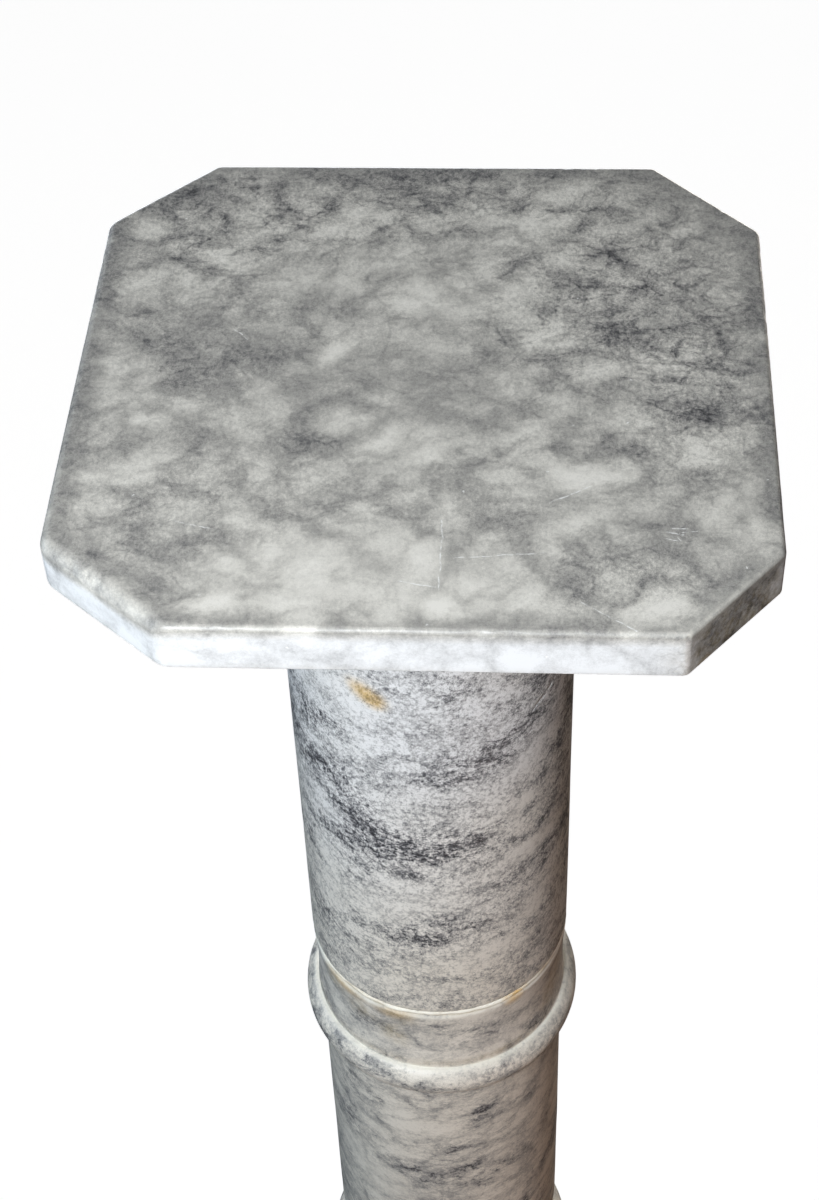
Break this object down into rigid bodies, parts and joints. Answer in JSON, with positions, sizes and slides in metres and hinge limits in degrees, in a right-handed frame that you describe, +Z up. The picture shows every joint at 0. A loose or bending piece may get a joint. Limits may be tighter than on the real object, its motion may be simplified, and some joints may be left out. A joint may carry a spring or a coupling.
{
  "type": "marble pedestal column",
  "caption": "Free-standing grey marble column with a clipped-corner top slab, round drums with turned collars and a low plinth, made to carry a vase, plant or bust.",
  "frame": {"origin": "centre of the plinth's underside, on the column's axis", "axes": "+Z up along the column's axis, front of the slab towards -Y, +X to the right seen from the front"},
  "size_m": [0.28, 0.28, 1],
  "materials": {
    "slab_marble": "worn satin polish",
    "drum_marble": "worn satin polish",
    "mortar": "matte"
  },
  "bodies": {
    "root": {"plinth": "slab_marble", "base_moulding": "drum_marble", "lower_drum": "drum_marble", "lower_mortar_bed": "mortar", "middle_drum": "drum_marble", "upper_mortar_bed": "mortar", "upper_drum": "drum_marble", "top_slab": "slab_marble"}
  },
  "joints": []
}
